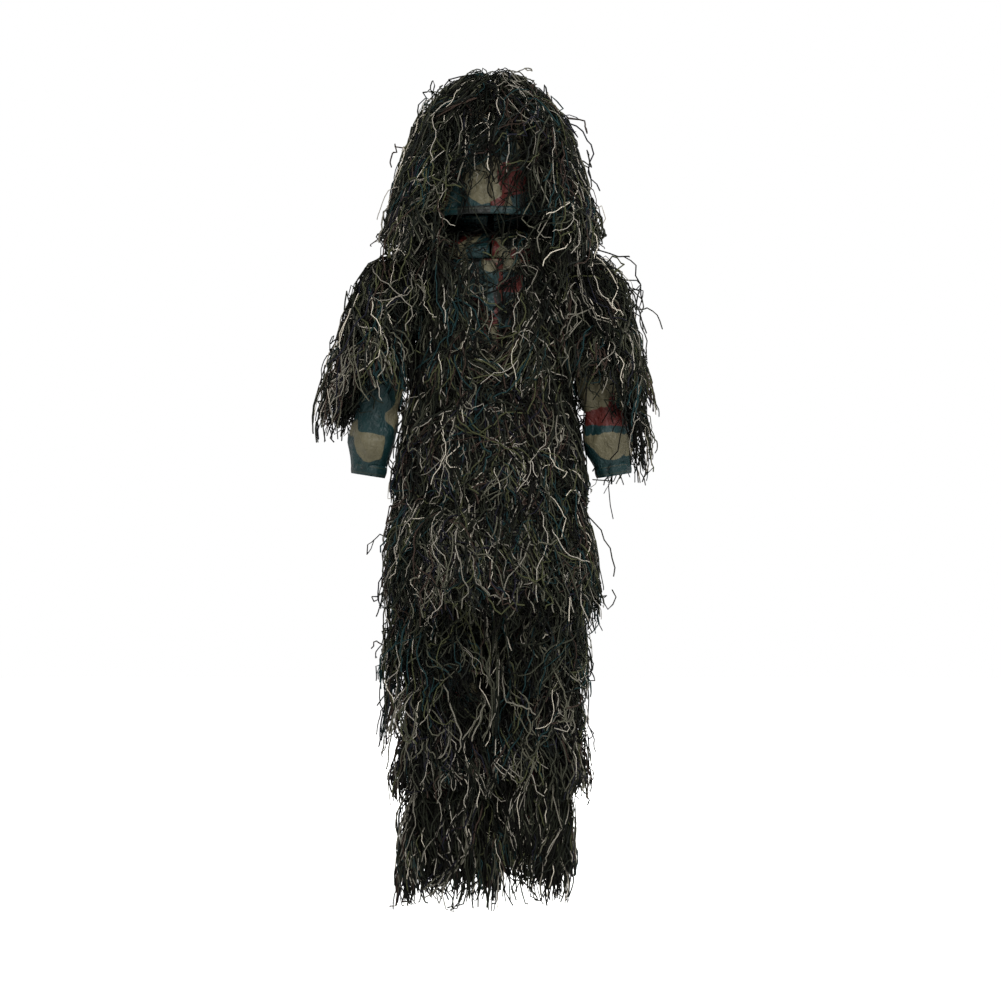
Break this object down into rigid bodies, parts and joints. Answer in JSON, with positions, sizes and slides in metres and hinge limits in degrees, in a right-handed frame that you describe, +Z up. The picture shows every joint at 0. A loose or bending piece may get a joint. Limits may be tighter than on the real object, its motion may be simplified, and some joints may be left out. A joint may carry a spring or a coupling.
{
  "type": "ghillie suit",
  "caption": "Woodland ghillie suit as worn: a hood, a snap-fronted jacket and trousers of camouflage cloth, covered in tiers of hanging yarn.",
  "frame": {"origin": "middle of the neck seam, where the suit hangs from the wearer's shoulders", "axes": "+Z up along the wearer's spine, -Y the way the wearer faces, +X the wearer's left"},
  "size_m": [0.6238, 0.3608, 1.511],
  "materials": {
    "camouflage_cloth": "matte",
    "jute_yarn": "matte",
    "elastic": "matte",
    "snap_metal": "satin",
    "eyelet_metal": "satin"
  },
  "bodies": {
    "suit_body": {"jacket_back": "camouflage_cloth", "left_side_panel": "camouflage_cloth", "right_side_panel": "camouflage_cloth", "jacket_collar": "camouflage_cloth", "trouser_seat": "camouflage_cloth", "crotch_gusset": "camouflage_cloth", "waist_elastic": "elastic", "left_waist_eyelet": "eyelet_metal", "right_waist_eyelet": "eyelet_metal", "left_thigh": "camouflage_cloth", "right_thigh": "camouflage_cloth", "left_shoulder_yarn": "jute_yarn", "right_shoulder_yarn": "jute_yarn", "upper_back_yarn": "jute_yarn", "middle_back_yarn": "jute_yarn", "lower_back_yarn": "jute_yarn", "left_thigh_yarn": "jute_yarn", "right_thigh_yarn": "jute_yarn"},
    "left_flap": {"left_front_panel": "camouflage_cloth", "left_placket": "camouflage_cloth", "left_chest_yarn": "jute_yarn", "left_waist_yarn": "jute_yarn", "left_hem_yarn": "jute_yarn", "snap_socket_1": "snap_metal", "snap_socket_2": "snap_metal", "snap_socket_3": "snap_metal", "snap_socket_4": "snap_metal"},
    "right_flap": {"right_front_panel": "camouflage_cloth", "right_placket": "camouflage_cloth", "right_chest_yarn": "jute_yarn", "right_waist_yarn": "jute_yarn", "right_hem_yarn": "jute_yarn", "snap_stud_1": "snap_metal", "snap_stud_2": "snap_metal", "snap_stud_3": "snap_metal", "snap_stud_4": "snap_metal"},
    "left_arm": {"left_sleeve": "camouflage_cloth", "left_cuff_elastic": "elastic", "left_upper_sleeve_yarn": "jute_yarn", "left_lower_sleeve_yarn": "jute_yarn"},
    "right_arm": {"right_sleeve": "camouflage_cloth", "right_cuff_elastic": "elastic", "right_upper_sleeve_yarn": "jute_yarn", "right_lower_sleeve_yarn": "jute_yarn"},
    "left_lower_leg": {"left_shin": "camouflage_cloth", "left_ankle_elastic": "elastic", "left_shin_yarn": "jute_yarn", "left_ankle_yarn": "jute_yarn"},
    "right_lower_leg": {"right_shin": "camouflage_cloth", "right_ankle_elastic": "elastic", "right_shin_yarn": "jute_yarn", "right_ankle_yarn": "jute_yarn"},
    "hood": {"left_hood_panel": "camouflage_cloth", "right_hood_panel": "camouflage_cloth", "hood_hem_elastic": "elastic", "hood_crown_yarn": "jute_yarn", "hood_front_yarn": "jute_yarn", "hood_back_yarn": "jute_yarn", "left_hood_side_yarn": "jute_yarn", "right_hood_side_yarn": "jute_yarn"}
  },
  "joints": [
    {"name": "hood_lift", "type": "slide", "parent": "suit_body", "child": "hood", "axis": [0, 0, 1], "range_m": [0, 0.3]},
    {"name": "left_flap_open", "type": "hinge", "parent": "suit_body", "child": "left_flap", "pos_m": [0.095, -0.107, -0.3], "axis": [0, 0, 1], "range_deg": [0, 60]},
    {"name": "right_flap_open", "type": "hinge", "parent": "suit_body", "child": "right_flap", "pos_m": [-0.095, -0.107, -0.3], "axis": [0, 0, -1], "range_deg": [0, 40]},
    {"name": "left_sleeve_swing", "type": "hinge", "parent": "suit_body", "child": "left_arm", "pos_m": [0.175, 0, -0.108], "axis": [-1, 0, 0], "range_deg": [-30, 75]},
    {"name": "right_sleeve_swing", "type": "hinge", "parent": "suit_body", "child": "right_arm", "pos_m": [-0.175, 0, -0.108], "axis": [-1, 0, 0], "range_deg": [-30, 75]},
    {"name": "left_knee_bend", "type": "hinge", "parent": "suit_body", "child": "left_lower_leg", "pos_m": [0.074, 0.054, -0.87], "axis": [1, 0, 0], "range_deg": [0, 50]},
    {"name": "right_knee_bend", "type": "hinge", "parent": "suit_body", "child": "right_lower_leg", "pos_m": [-0.074, 0.054, -0.87], "axis": [1, 0, 0], "range_deg": [0, 50]}
  ],
  "couplings": [
    {"joint": "right_flap_open", "follows": "left_flap_open", "ratio": 0.6}
  ]
}
